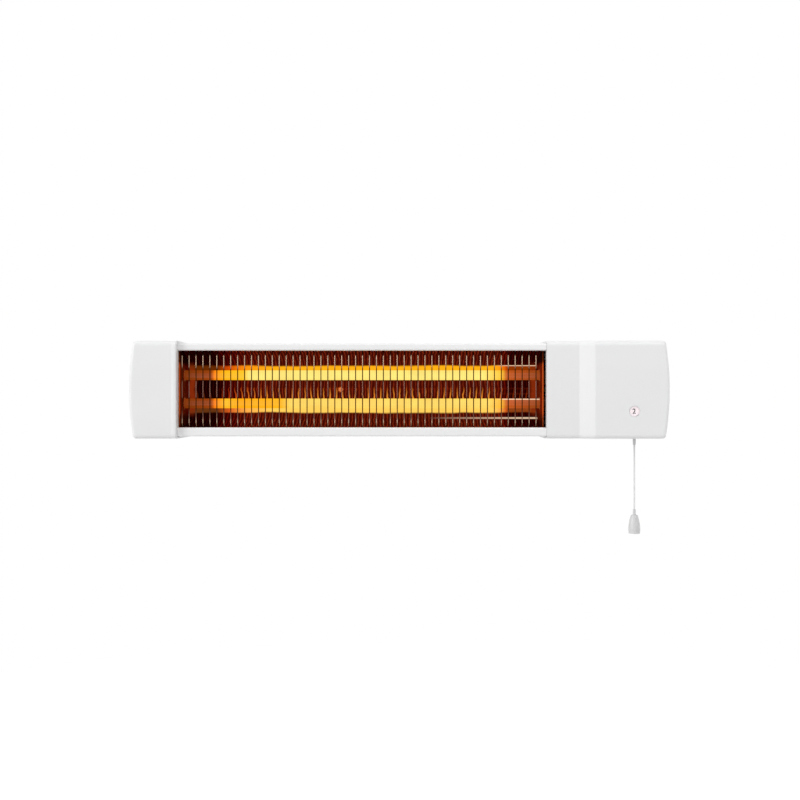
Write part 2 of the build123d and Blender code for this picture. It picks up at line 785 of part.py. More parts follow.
ramp_start_x = opening_right_x + low_panel_length
ramp_end_x = ramp_start_x + ramp_length
housing_stations = [
    (opening_right_x, low_panel_front_y),
    (ramp_start_x, low_panel_front_y),
    (ramp_end_x, main_panel_front_y),
    (housing_end_x, main_panel_front_y),
]
switch_boss_places = [(axis_x + side * switch_screw_offset, axis_z) for side in (1, -1)]
with BuildPart() as switch_housing:
    add(end_shell(opening_right_x, housing_end_x, housing_stations, housing_screw_x))
    with BuildSketch(facing(switch_front_y)):
        with Locations(*switch_boss_places):
            Circle(switch_boss_radius)
    extrude(amount=switch_front_y - panel_inner_y + shell_wall / 2)
    with BuildSketch(facing(switch_front_y)):
        with Locations(*switch_boss_places):
            Circle(screw_radius + running_gap)
    extrude(amount=switch_front_y - panel_inner_y, mode=Mode.SUBTRACT)
    with BuildSketch(facing(panel_inner_y + overcut)):
        with Locations((window_x, window_z)):
            Circle(window_radius + running_gap)
    extrude(amount=shell_wall + 2 * overcut, mode=Mode.SUBTRACT)
    with BuildSketch(Plane.XY.offset(cap_bottom - overcut)):
        with Locations((cord_x, cord_y)):
            Circle(bush_nozzle_radius + running_gap)
    extrude(amount=shell_wall + 2 * overcut, mode=Mode.SUBTRACT)
save(switch_housing.part, "switch_housing")

with BuildPart() as left_rear_cover:
    add(rear_cover(opening_left_x, cap_end_x, cap_screw_x))
save(left_rear_cover.part, "left_rear_cover")

with BuildPart() as right_rear_cover:
    add(rear_cover(opening_right_x, housing_end_x, housing_screw_x))
    with BuildSketch(facing(cover_rear_y)):
        with Locations((inlet_x, inlet_z)):
            Circle(inlet_radius + running_gap)
    extrude(amount=cover_thickness, mode=Mode.SUBTRACT)
save(right_rear_cover.part, "right_rear_cover")

with BuildPart() as left_cover_screws:
    add(cover_screws(opening_left_x, cap_end_x, cap_screw_x))
save(left_cover_screws.part, "left_cover_screws")

with BuildPart() as right_cover_screws:
    add(cover_screws(opening_right_x, housing_end_x, housing_screw_x))
save(right_cover_screws.part, "right_cover_screws")

# Window over the dial, flush with the panel and held by its inner flange
with BuildPart() as indicator_window:
    with BuildSketch(facing(panel_inner_y)):
        with Locations((window_x, window_z)):
            Circle(window_radius)
    extrude(amount=shell_wall)
    chamfer(indicator_window.faces().sort_by(Axis.Y)[0].edges(), window_edge)
    with BuildSketch(facing(panel_inner_y + window_flange_height)):
        with Locations((window_x, window_z)):
            Circle(window_flange_radius)
    extrude(amount=window_flange_height)
save(indicator_window.part, "indicator_window")

# Dial: a thin disc on the front end of the shaft
with BuildPart() as indicator_disc:
    with BuildSketch(facing(dial_rear_y, axis_x, axis_z)):
        Circle(dial_radius)
    extrude(amount=dial_thickness)
    with BuildSketch(facing(dial_rear_y + dial_hub_height, axis_x, axis_z)):
        Circle(dial_hub_radius)
        Circle(shaft_radius, mode=Mode.SUBTRACT)
    extrude(amount=dial_hub_height)
save(indicator_disc.part, "indicator_disc")

# Ratchet wheel with the switch's shaft
with BuildPart() as ratchet_wheel:
    with BuildSketch(facing(switch_rear_y, axis_x, axis_z)):
        Circle(shaft_radius)
    extrude(amount=switch_rear_y - dial_rear_y)
    with BuildSketch(facing(ratchet_rear_y, axis_x, axis_z)):
        teeth = []
        for tooth in range(ratchet_teeth):
            angle = radians(360 / ratchet_teeth * tooth)
            slope = radians(ratchet_face_angle)
            teeth.append((ratchet_radius * cos(angle), ratchet_radius * sin(angle)))
            root = angle + slope
            teeth.append((ratchet_root_radius * cos(root), ratchet_root_radius * sin(root)))
        with BuildLine():
            Polyline(*teeth, close=True)
        make_face()
    extrude(amount=ratchet_width)
    with BuildSketch(facing(ratchet_front_y, axis_x, axis_z)):
        Circle(ratchet_collar_radius)
    extrude(amount=ratchet_front_y - switch_front_y - switch_wall - sheet_gap)
save(ratchet_wheel.part, "ratchet_wheel")

# Drum that the cord turns, with a groove for the cord and a hub for the return spring
with BuildPart() as cord_drum:
    with BuildSketch(Plane.XY.offset(axis_z)):
        groove_radius = drum_radius - cord_radius - fit_gap
        bore = shaft_radius + running_gap
        hub_end_y = drum_rear_y + spring_length + sheet_gap
        with BuildLine():
            Polyline(
                (axis_x + bore, drum_front_y),
                (axis_x + drum_flange_radius, drum_front_y),
                (axis_x + drum_flange_radius, cord_y - drum_groove / 2),
                (axis_x + groove_radius, cord_y - drum_groove / 2),
                (axis_x + groove_radius, cord_y + drum_groove / 2),
                (axis_x + drum_flange_radius, cord_y + drum_groove / 2),
                (axis_x + drum_flange_radius, drum_rear_y),
                (axis_x + drum_hub_radius, drum_rear_y),
                (axis_x + drum_hub_radius, hub_end_y),
                (axis_x + bore, hub_end_y),
                close=True,
            )
        make_face()
    revolve(axis=Axis((axis_x, 0, axis_z), (0, 1, 0)))
save(cord_drum.part, "cord_drum")

# Pawl: a spring leaf on a post of the drum, riding over the ratchet teeth
with BuildPart() as drive_pawl:
    leaf_radius = ratchet_radius + pawl_clearance
    with BuildSketch(facing(drum_front_y, axis_x, axis_z)):
        with PolarLocations(leaf_radius + pawl_post_radius, 1, pawl_post_angle):
            Circle(pawl_post_radius)
    extrude(amount=ratchet_offset + pawl_width)
    with BuildSketch(facing(drum_front_y - ratchet_offset, axis_x, axis_z)):
        with BuildLine():
            outer_arc = CenterArc((0, 0), leaf_radius + pawl_thickness, pawl_post_angle, pawl_arc)
            inner_arc = CenterArc((0, 0), leaf_radius, pawl_post_angle, pawl_arc)
            Line(outer_arc @ 0, inner_arc @ 0)
            Line(outer_arc @ 1, inner_arc @ 1)
        make_face()
    extrude(amount=pawl_width)
save(drive_pawl.part, "drive_pawl")

# Return spring round the drum's hub, drawn as its closed coil with one leg
with BuildPart() as return_spring:
    spring_front_y = drum_rear_y + sheet_gap / 2
    with BuildSketch(facing(spring_front_y + spring_length, axis_x, axis_z)):
        Circle(spring_radius)
        Circle(spring_radius - spring_wire, mode=Mode.SUBTRACT)
    extrude(amount=spring_length)
    leg_length = switch_half_width - switch_wall - spring_radius + spring_wire / 2
    with BuildSketch(facing(spring_front_y + spring_length, axis_x, axis_z)):
        with Locations((0, spring_radius - spring_wire / 2 + leg_length / 2)):
            Rectangle(spring_wire, leg_length)
    extrude(amount=spring_wire)
save(return_spring.part, "return_spring")

# Cam that opens and closes the contacts
with BuildPart() as contact_cam:
    cam_rear_y = switch_rear_y - switch_wall - ratchet_offset
    with BuildSketch(facing(cam_rear_y, axis_x, axis_z)):
        Circle(cam_root_radius)
        lobe_radius = cam_radius - cam_root_radius
        with PolarLocations(cam_root_radius, 3):
            Circle(lobe_radius)
        Circle(shaft_radius, mode=Mode.SUBTRACT)
    extrude(amount=cam_width)
save(contact_cam.part, "contact_cam")

# Switch body: a moulded box with two screw lugs, closed at the back by the contact plate
with BuildPart() as switch_body:
    with BuildSketch(facing(switch_rear_y - switch_wall, axis_x, axis_z)):
        RectangleRounded(2 * switch_half_width, 2 * switch_half_width, switch_corner)
    extrude(amount=switch_depth - switch_wall)
    with BuildSketch(facing(switch_front_y + switch_lug_thickness, axis_x, axis_z)):
        SlotOverall(2 * switch_lug_reach, switch_lug_height)
    extrude(amount=switch_lug_thickness)
    with BuildSketch(facing(switch_rear_y - switch_wall, axis_x, axis_z)):
        inner = 2 * (switch_half_width - switch_wall)
        RectangleRounded(inner, inner, switch_inner_corner)
    extrude(amount=switch_depth - 2 * switch_wall, mode=Mode.SUBTRACT)
    with BuildSketch(facing(switch_front_y + switch_lug_thickness + overcut, axis_x, axis_z)):
        Circle(shaft_radius + running_gap)
        with Locations((switch_screw_offset, 0), (-switch_screw_offset, 0)):
            Circle(screw_radius + running_gap)
    extrude(amount=switch_lug_thickness + 2 * overcut, mode=Mode.SUBTRACT)
    with BuildSketch(Plane.XY.offset(axis_z - switch_half_width - overcut)):
        with Locations((cord_x, cord_y)):
            Circle(cord_radius + switch_cord_clearance)
    extrude(amount=switch_wall + 2 * overcut, mode=Mode.SUBTRACT)
save(switch_body.part, "switch_body")

with BuildPart() as contact_plate:
    with BuildSketch(facing(switch_rear_y, axis_x, axis_z)):
        RectangleRounded(2 * switch_half_width, 2 * switch_half_width, switch_corner)
        Circle(shaft_radius + running_gap, mode=Mode.SUBTRACT)
        with PolarLocations(contact_radius, 3, 90):
            slot_size = (contact_thickness + 2 * running_gap, contact_width + 2 * running_gap)
            Rectangle(*slot_size, mode=Mode.SUBTRACT)
    extrude(amount=switch_wall)
save(contact_plate.part, "contact_plate")

with BuildPart() as switch_contacts:
    with BuildSketch(facing(switch_rear_y + contact_tab_length, axis_x, axis_z)):
        with PolarLocations(contact_radius, 3, 90):
            Rectangle(contact_thickness, contact_width)
    extrude(amount=contact_tab_length + switch_wall + cam_width)
save(switch_contacts.part, "switch_contacts")

with BuildPart() as switch_body_screws:
    screw_y = switch_front_y + switch_lug_thickness
    with BuildSketch(facing(screw_y, axis_x, axis_z)):
        with Locations((switch_screw_offset, 0), (-switch_screw_offset, 0)):
            Circle(screw_radius)
    extrude(amount=screw_y - panel_inner_y - screw_tip)
    with BuildSketch(facing(screw_y, axis_x, axis_z)):
        with Locations((switch_screw_offset, 0), (-switch_screw_offset, 0)):
            Circle(screw_head_radius)
    extrude(amount=-screw_head_height)
save(switch_body_screws.part, "switch_body_screws")

# Guide where the cord leaves the housing
with BuildPart() as cord_bush:
    with BuildSketch(Plane.XZ.offset(-cord_y)):
        inner_z = cap_bottom + shell_wall
        with BuildLine():
            Polyline(
                (cord_x + bush_bore_radius, inner_z + bush_flange_height),
                (cord_x + bush_flange_radius, inner_z + bush_flange_height),
                (cord_x + bush_flange_radius, inner_z),
                (cord_x + bush_nozzle_radius, inner_z),
                (cord_x + bush_nozzle_radius, cap_bottom),
                (cord_x + bush_tip_radius, cap_bottom - bush_nozzle_length),
                (cord_x + bush_bore_radius, cap_bottom - bush_nozzle_length),
                close=True,
            )
        make_face()
    revolve(axis=Axis((cord_x, cord_y, 0), (0, 0, 1)))
save(cord_bush.part, "cord_bush")

# Pull cord: straight, because the knob keeps it tight, with a knot inside the knob
cavity_top_z = knob_top_z - knob_neck_length
cord_length = axis_z - cavity_top_z
print("pull cord: straight run", round(cord_length, 1), "mm, no bends")
with BuildPart() as pull_cord:
    with BuildSketch(Plane.XY.offset(axis_z)):
        with Locations((cord_x, cord_y)):
            Circle(cord_radius)
    extrude(amount=-cord_length)
save(pull_cord.part, "pull_cord")

with BuildPart() as cord_ferrule:
    with BuildSketch(Plane.XY.offset(knob_top_z)):
        with Locations((cord_x, cord_y)):
            Circle(ferrule_radius)
            Circle(cord_radius + running_gap, mode=Mode.SUBTRACT)
    extrude(amount=ferrule_length)
    chamfer(cord_ferrule.faces().sort_by(Axis.Z)[-1].edges().sort_by(SortBy.RADIUS)[-1], ferrule_chamfer)
save(cord_ferrule.part, "cord_ferrule")

with BuildPart() as cord_knot:
    with BuildSketch(Plane.XZ.offset(-cord_y)):
        knot_drop = sqrt(knot_radius**2 - cord_radius**2)
        with BuildLine():
            Line((cord_x, cavity_top_z), (cord_x + cord_radius, cavity_top_z))
            ThreePointArc(
                (cord_x + cord_radius, cavity_top_z),
                (cord_x + knot_radius, cavity_top_z - knot_drop),
                (cord_x, cavity_top_z - knot_drop - knot_radius),
            )
            Line((cord_x, cavity_top_z - knot_drop - knot_radius), (cord_x, cavity_top_z))
        make_face()
    revolve(axis=Axis((cord_x, cord_y, 0), (0, 0, 1)))
save(cord_knot.part, "cord_knot")

with BuildPart() as pull_knob:
    knob_bottom_z = knob_top_z - knob_length
    with BuildSketch(Plane.XZ.offset(-cord_y)):
        with BuildLine():
            Polyline((cord_x, knob_bottom_z), (cord_x, knob_top_z), (cord_x + knob_top_radius, knob_top_z))
            ThreePointArc(
                (cord_x + knob_top_radius, knob_top_z),
                (cord_x + knob_shoulder_radius, knob_top_z - knob_wide_at / 2),
                (cord_x + knob_wide_radius, knob_top_z - knob_wide_at),
            )
            Polyline(
                (cord_x + knob_wide_radius, knob_top_z - knob_wide_at),
                (cord_x + knob_bottom_radius, knob_bottom_z),
                (cord_x, knob_bottom_z),
            )
        make_face()
    revolve(axis=Axis((cord_x, cord_y, 0), (0, 0, 1)))
    fillet(pull_knob.edges().filter_by(GeomType.CIRCLE).group_by(Axis.Z)[-1], knob_top_edge)
    with BuildSketch(Plane.XY.offset(knob_bottom_z)):
        with Locations((cord_x, cord_y)):
            Circle(knob_bottom_radius - knob_wall)
    extrude(amount=cavity_top_z - knob_bottom_z, mode=Mode.SUBTRACT)
    with BuildSketch(Plane.XY.offset(knob_top_z + overcut)):
        with Locations((cord_x, cord_y)):
            Circle(cord_radius + running_gap)
    extrude(amount=-knob_neck_length - overcut, mode=Mode.SUBTRACT)
save(pull_knob.part, "pull_knob")

# Mains connection: three-pole block on the rear cover, inlet grommet and earth screw
pole_places = [(block_x + (pole - 1) * block_pole_pitch, block_z) for pole in range(3)]
block_screw_places = [(x, z + side * block_height / 4) for x, z in pole_places for side in (1, -1)]
block_front_y = casing_rear_y - block_depth
with BuildPart() as terminal_block:
    with BuildSketch(facing(casing_rear_y)):
        with Locations((block_x, block_z)):
            Rectangle(3 * block_pole_pitch, block_height)
    extrude(amount=block_depth / 2)
    with BuildSketch(facing(casing_rear_y)):
        with Locations(*pole_places):
            Rectangle(block_pole_pitch - block_slot, block_height)
    extrude(amount=block_depth)
    with BuildSketch(facing(block_front_y)):
        with Locations(*block_screw_places):
            Circle(block_screw_radius + running_gap)
    extrude(amount=-block_screw_depth, mode=Mode.SUBTRACT)
save(terminal_block.part, "terminal_block")

with BuildPart() as terminal_screws:
    with BuildSketch(facing(block_front_y + block_screw_depth)):
        with Locations(*block_screw_places):
            Circle(block_screw_radius)
    extrude(amount=block_screw_depth - block_screw_sink)
    with BuildSketch(facing(block_front_y + block_screw_sink)):
        with Locations(*block_screw_places):
            Rectangle(2 * block_screw_radius, screw_slot)
    extrude(amount=-screw_slot_depth, mode=Mode.SUBTRACT)
save(terminal_screws.part, "terminal_screws")

with BuildPart() as cable_grommet:
    for start, length, radius in (
        (cover_rear_y + grommet_flange_height, grommet_flange_height, grommet_flange_radius),
        (cover_rear_y, cover_thickness, inlet_radius),
        (casing_rear_y, grommet_flange_height, grommet_inner_flange_radius),
    ):
        with BuildSketch(facing(start)):
            with Locations((inlet_x, inlet_z)):
                Circle(radius)
        extrude(amount=length)
    with BuildSketch(facing(cover_rear_y + grommet_flange_height + overcut)):
        with Locations((inlet_x, inlet_z)):
            Circle(grommet_bore_radius)
    extrude(amount=cover_thickness + 2 * grommet_flange_height + 2 * overcut, mode=Mode.SUBTRACT)
save(cable_grommet.part, "cable_grommet")

with BuildPart() as earth_screw:
    tab_front_y = casing_inner_rear_y - plate_sheet
    with BuildSketch(facing(casing_rear_y)):
        with Locations((earth_screw_x, 0)):
            Circle(screw_radius)
    extrude(amount=casing_sheet + plate_sheet)
    with BuildSketch(facing(tab_front_y)):
        with Locations((earth_screw_x, 0)):
            Circle(screw_head_radius)
    extrude(amount=earth_head_height)
save(earth_screw.part, "earth_screw")

# Internal wiring: each lead runs straight between gentle bends, past way points chosen
# to clear the ceramics, the reflector and the switch body
block_bottom_z = block_z - block_height / 2
block_entry_y = casing_rear_y - block_depth / 2
left_terminal_x = left_plate_x - ceramic_length - terminal_length
right_terminal_x = right_plate_x + ceramic_length + terminal_length
tab_end_y = switch_rear_y + contact_tab_length
contact_places = [
    (axis_x + contact_radius * cos(radians(angle)), axis_z + contact_radius * sin(radians(angle)))
    for angle in (90, 210, 330)
]
jumper_x = left_terminal_x - lead_exit
jumper_route = [
    (left_terminal_x, tube_y, tube_z),
    (jumper_x, tube_y, tube_z),
    (jumper_x, tube_y, -tube_z),
    (left_terminal_x, tube_y, -tube_z),
]
neutral_route = [
    (jumper_x + wire_lead_radius, tube_y, 0),
    (jumper_x + lead_step, tube_y, 0),
    (jumper_x + 2 * lead_step, neutral_y - lead_step, neutral_z),
    (left_plate_x - lead_step, neutral_y, neutral_z),
    (right_plate_x + lead_step, neutral_y, neutral_z),
    (right_plate_x + 2 * lead_step, neutral_y - lead_step, neutral_z - 2 * lead_step),
    (block_x, neutral_y - lead_step, block_bottom_z - 2 * lead_step),
    (block_x, block_entry_y, block_bottom_z - lead_step),
    (block_x, block_entry_y, block_bottom_z),
]
earth_start_x = earth_screw_x + screw_head_radius
earth_y = casing_inner_rear_y - plate_sheet - wire_lead_radius
earth_route = [
    (earth_start_x, earth_y, 0),
    (pole_places[0][0] - lead_step / 2, earth_y, 0),
    (pole_places[0][0], block_entry_y, lead_step),
    (pole_places[0][0], block_entry_y, block_bottom_z),
]
live_route = [
    (pole_places[2][0], block_entry_y, block_bottom_z),
    (pole_places[2][0], block_entry_y, block_bottom_z - lead_step),
    (contact_places[0][0] - 2 * lead_step, tab_end_y + lead_exit, contact_places[0][1]),
    (contact_places[0][0], tab_end_y + lead_exit, contact_places[0][1]),
    (contact_places[0][0], tab_end_y, contact_places[0][1]),
]
switch_routes = [
    [
        (right_terminal_x, tube_y, -tube_z),
        (right_terminal_x + lead_exit, tube_y, -tube_z),
        (contact_places[1][0] - 2 * lead_step, tab_end_y + lead_exit, contact_places[1][1] - lead_step),
        (contact_places[1][0], tab_end_y + lead_exit, contact_places[1][1]),
        (contact_places[1][0], tab_end_y, contact_places[1][1]),
    ],
    [
        (right_terminal_x, tube_y, tube_z),
        (right_terminal_x + lead_exit, tube_y, tube_z),
        (contact_places[1][0] - lead_step, tab_end_y + 2 * lead_step, contact_places[2][1] + lead_step),
        (contact_places[2][0], tab_end_y + 2 * lead_step, contact_places[2][1]),
        (contact_places[2][0], tab_end_y, contact_places[2][1]),
    ],
]
for label, routes in (
    ("jumper_lead", [jumper_route]),
    ("neutral_lead", [neutral_route]),
    ("earth_lead", [earth_route]),
    ("live_lead", [live_route]),
    ("switch_leads", switch_routes),
):
    with BuildPart() as leads:
        for route in routes:
            with BuildLine() as path:
                FilletPolyline(*route, radius=lead_bend_radius)
            with BuildSketch(Plane(origin=path.line @ 0, z_dir=path.line % 0)):
                Circle(wire_lead_radius)
            sweep(path=path.line)
    save(leads.part, label)
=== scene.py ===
"""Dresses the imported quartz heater: lights, camera, materials and the fine pieces that the solids leave out.

Metres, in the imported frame: X along the heater, the room towards -Y, +Z up.
"""

import bmesh
import bpy
import json
from math import cos, pi, radians, sin
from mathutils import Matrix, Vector


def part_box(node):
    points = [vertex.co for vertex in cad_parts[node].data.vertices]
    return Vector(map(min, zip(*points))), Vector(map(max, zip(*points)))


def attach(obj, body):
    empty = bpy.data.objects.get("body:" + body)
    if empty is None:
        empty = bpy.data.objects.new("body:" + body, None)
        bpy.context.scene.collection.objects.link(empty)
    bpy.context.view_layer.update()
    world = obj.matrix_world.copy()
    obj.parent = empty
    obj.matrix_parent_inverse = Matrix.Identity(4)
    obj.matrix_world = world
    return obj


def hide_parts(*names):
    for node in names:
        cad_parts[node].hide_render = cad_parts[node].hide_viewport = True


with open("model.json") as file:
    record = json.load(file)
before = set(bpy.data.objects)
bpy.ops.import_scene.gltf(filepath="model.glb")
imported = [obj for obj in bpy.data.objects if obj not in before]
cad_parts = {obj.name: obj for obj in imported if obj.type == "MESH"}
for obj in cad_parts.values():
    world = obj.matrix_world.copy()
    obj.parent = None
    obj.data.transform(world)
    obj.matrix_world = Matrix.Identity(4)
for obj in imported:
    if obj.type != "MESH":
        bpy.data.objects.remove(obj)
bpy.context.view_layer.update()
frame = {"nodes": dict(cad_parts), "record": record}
nodes = frame["nodes"]
MM = 0.001

# Camera: square on to the front, one metre from the rails
CAMERA_DISTANCE = 1.0
CAMERA_HEIGHT = -11 * MM
LENS = 45
SENSOR_WIDTH = 36
RAIL_FRONT_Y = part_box("main_casing")[0].y

# Studio: a round floor, light from all sides and soft boxes aimed at the middle of the front
FLOOR_Y = -0.2
FLOOR_Z = -0.62
FLOOR_RADIUS = 1.6
FLOOR_SIDES = 96
FLOOR_GREY = (0.8, 0.8, 0.8)
AMBIENT = 0.50
AIM = (0, RAIL_FRONT_Y, 0)
SOFT_BOXES = {
    "key": {"place": (-3.0, -1.8, 1.0), "size": (2.2, 1.6), "watts": 61.0},
    "fill": {"place": (0.65, -1.05, 0.85), "size": (0.9, 0.7), "watts": 4.0},
    "overhead": {"place": (0, -0.25, 1.3), "size": (1.6, 0.5), "watts": 3.0},
    "rim": {"place": (1.5, -0.2, 0.3), "size": (0.8, 0.8), "watts": 2.5},
}

# Heating wire: the lead is the slope between a straight end and the nearest turn
WINDING_PITCH = 2.2 * MM
WINDING_WIRE_RADIUS = 0.35 * MM
WINDING_LEAD = 2 * MM
WINDING_SIDES = 6
STEPS_PER_TURN = 12
COIL_SPAN = (-0.193, 0.1115)

# Dial: the font is larger than its digits by the font factor
DIAL_DIGITS = "210210"
DIGIT_HEIGHT = 5.0 * MM
FONT_FACTOR = 1.4
DIGIT_BOLDNESS = 0.12 * MM
DIGIT_THICKNESS = 0.05 * MM

# Cord: the lead below its guide is in cord diameters, a strand's thickness is a share of the cord's
STRAND_COUNT = 4
STRAND_SHARE = 0.52
STRAND_SIDES = 8
STRAND_TURN_LENGTH = 7 * MM
CORD_LEAD = 6
CORD_RESOLUTION = 250

# Radius that the edges of the white housings seem to have
HOUSING_EDGE_SOFTNESS = 2.2 * MM

# Length after which Blender's wave texture repeats when its scale is 1
WAVE_LENGTH = pi / 10

# Textures: sizes of their marks and depths of their relief
FLOW_MARK_SIZE = 60 * MM
GRAIN_SIZE = 0.5 * MM
GRAIN_DEPTH = 0.03 * MM
ENAMEL_DRIFT_SIZE = 90 * MM
ENAMEL_CLOUD_SIZE = 4 * MM
ORANGE_PEEL_SIZE = 2.2 * MM
ORANGE_PEEL_DEPTH = 0.05 * MM
PLATING_CLOUD_SIZE = 9 * MM
PLATING_LINE_SIZE = 0.4 * MM
METAL_LINE_DEPTH = 0.01 * MM
THREAD_PITCH = 0.8 * MM
THREAD_DEPTH = 0.3 * MM
STAIN_SIZE = 6 * MM
PIT_SIZE = 0.7 * MM
PIT_DEPTH = 0.06 * MM
BLOOM_SIZE = 3 * MM
RUBBER_GRAIN_SIZE = 0.6 * MM
RUBBER_GRAIN_DEPTH = 0.03 * MM
FIBRE_SIZE = 0.12 * MM
FIBRE_DEPTH = 0.05 * MM
REFLECTOR_LINE_SIZE = 0.5 * MM
REFLECTOR_WAVE_SIZE = 14 * MM
REFLECTOR_WAVE_DEPTH = 0.03 * MM
SCORCHED_LINE_SIZE = 0.8 * MM
HOT_PATCH_SIZE = 15 * MM
QUARTZ_CLOUD_SIZE = 11 * MM
HAZE_SIZE = 1.2 * MM
MIRRORED_BREAK_SIZE = 7 * MM

# Height bands and the guard's image stray to either side by the waver, in marks of these sizes
WAVER = 0.8 * MM
BAND_WAVER_SIZE = 14 * MM
MIRRORED_WAVER_SIZE = 9 * MM

# Glow: the spikes' span and root and the ends' edge are heights, the other lengths run along X
MIRRORED_PITCH = 6.66 * MM
SPIKE_SPAN = (-10 * MM, 3 * MM)
SPIKE_ROOT = (-16 * MM, -14 * MM)
SPIKE_THINNESS = 0.72
GLOW_RISE = 58 * MM
GLOW_FALL = 16 * MM
AFTERGLOW = 0.06
END_REACH = 8 * MM
END_EDGE = (20 * MM, 29 * MM)
LIT_SPAN = (-0.192, 0.114)
TUBE_SPAN = tuple(corner.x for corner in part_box("upper_quartz_tube"))
TUBE_GLOW = 1.05


# Materials


def opaque(colour):
    return (*colour, 1)


def shade(colour, factor):
    return tuple(min(1.0, channel * factor) for channel in colour)


def positions(stops, start, end):
    """Stops given by a place in metres, as positions from 0 at start to 1 at end."""
    return [((place - start) / (end - start), colour) for place, colour in stops]


class Paint:
    """One procedural material: a Principled shader fed by textures in the object's own space."""

    def __init__(self, name, **sockets):
        self.material = bpy.data.materials.new(name)
        self.material.use_nodes = True
        self.tree = self.material.node_tree
        self.shader = self.tree.nodes["Principled BSDF"]
        self.space = self.add("ShaderNodeTexCoord").outputs["Object"]
        self.normal = None
        self.set(**sockets)

    def set(self, **sockets):
        """Sets the shader's sockets, named with an underscore for each space."""
        for socket, value in sockets.items():
            self.shader.inputs[socket.replace("_", " ")].default_value = value

    def add(self, kind, links=None, **settings):
        """New node whose inputs are linked where a socket is given and set where a value is."""
        node = self.tree.nodes.new(kind)
        for setting, value in settings.items():
            setattr(node, setting, value)
        for socket, value in (links or {}).items():
            if isinstance(value, bpy.types.NodeSocket):
                self.tree.links.new(value, node.inputs[socket])
            else:
                node.inputs[socket].default_value = value
        return node

    def feed(self, socket, value):
        self.tree.links.new(value, self.shader.inputs[socket])

    def axis(self, name):
        """The object's own X, Y or Z."""
        return self.add("ShaderNodeSeparateXYZ", {0: self.space}).outputs[name]

    def math(self, operation, *values):
        return self.add("ShaderNodeMath", dict(enumerate(values)), operation=operation).outputs[0]

    def multiply(self, one, other):
        return self.math("MULTIPLY", one, other)

    def noise(self, size, stretch=(1, 1, 1), detail=3.0):
        """Noise with features about as large as size, drawn out along each axis by stretch."""
        scale = [1 / factor for factor in stretch]
        placed = self.add("ShaderNodeMapping", {"Vector": self.space, "Scale": scale}).outputs[0]
        links = {"Vector": placed, "Scale": 1 / size, "Detail": detail}
        return self.add("ShaderNodeTexNoise", links).outputs["Fac"]

    def ripples(self, pitch):
        """Even waves along X, one to each pitch."""
        links = {"Vector": self.space, "Scale": WAVE_LENGTH / pitch, "Distortion": 0.0}
        return self.add("ShaderNodeTexWave", links, bands_direction="X").outputs["Fac"]

    def spread(self, value, low, high, start=0.3, end=0.7):
        """Maps start..end of a value to low..high."""
        links = {"Value": value, "From Min": start, "From Max": end, "To Min": low, "To Max": high}
        return self.add("ShaderNodeMapRange", links).outputs["Result"]

    def waver(self, value, size, stretch):
        """A coordinate that wanders a little either way with a noise."""
        return self.math("ADD", value, self.spread(self.noise(size, stretch), -WAVER, WAVER))

    def ramp(self, value, stops):
        """Colour ramp through (position, colour) stops."""
        node = self.add("ShaderNodeValToRGB", {"Fac": value})
        elements = node.color_ramp.elements
        while len(elements) < len(stops):
            elements.new(1.0)
        for element, (position, colour) in zip(elements, stops):
            element.position = position
            element.color = opaque(colour)
        return node.outputs["Color"]

    def mix(self, factor, one, other):
        return self.add("ShaderNodeMix", {0: factor, 6: one, 7: other}, data_type="RGBA").outputs[2]

    def blend(self, kind, one, other):
        links = {0: 1.0, 6: one, 7: other}
        return self.add("ShaderNodeMix", links, data_type="RGBA", blend_type=kind).outputs[2]

    def mottle(self, texture, dark, light, start=0.3, end=0.7):
        """Base colour between two colours by a texture."""
        self.feed("Base Color", self.ramp(texture, [(start, dark), (end, light)]))

    def roughen(self, texture, low, high):
        """Roughness between two values by a texture."""
        self.feed("Roughness", self.spread(texture, low, high))

    def bump(self, height, depth, strength):
        links = {"Height": height, "Distance": depth, "Strength": strength}
        if self.normal:
            links["Normal"] = self.normal
        self.normal = self.add("ShaderNodeBump", links).outputs["Normal"]
        self.feed("Normal", self.normal)


def moulded(name, colour, roughness, softness=0.0):
    """Injection-moulded plastic with a spark-eroded grain, faint flow marks and, if asked, soft edges."""
    paint = Paint(name)
    if softness:
        paint.normal = paint.add("ShaderNodeBevel", {"Radius": softness}).outputs["Normal"]
    flow = paint.noise(FLOW_MARK_SIZE, stretch=(2.5, 1, 1))
    paint.mottle(flow, dark=shade(colour, 0.975), light=shade(colour, 1.01))
    grain = paint.noise(GRAIN_SIZE, detail=2.0)
    paint.roughen(grain, roughness - 0.06, roughness + 0.06)
    paint.bump(grain, GRAIN_DEPTH, strength=0.35)
    return paint


def enamelled(name, colour):
    """Baked enamel on sheet steel: slight orange peel under a soft gloss."""
    paint = Paint(name, Coat_Weight=0.25, Coat_Roughness=0.18)
    paint.mottle(paint.noise(ENAMEL_DRIFT_SIZE), dark=shade(colour, 0.98), light=shade(colour, 1.01))
    paint.roughen(paint.noise(ENAMEL_CLOUD_SIZE), 0.34, 0.44)
    paint.bump(paint.noise(ORANGE_PEEL_SIZE, detail=1.0), ORANGE_PEEL_DEPTH, strength=0.3)
    return paint


def plated(name, colour, roughness):
    """Plated or rolled metal with fine lines along X and cloudy patches."""
    paint = Paint(name, Metallic=1.0, Specular_Tint=opaque(shade(colour, 1.2)))
    paint.mottle(paint.noise(PLATING_CLOUD_SIZE), dark=shade(colour, 0.86), light=shade(colour, 1.06))
    lines = paint.noise(PLATING_LINE_SIZE, stretch=(14, 1, 1))
    paint.roughen(lines, roughness * 0.75, roughness * 1.35)
    paint.bump(lines, METAL_LINE_DEPTH, strength=0.3)
    return paint


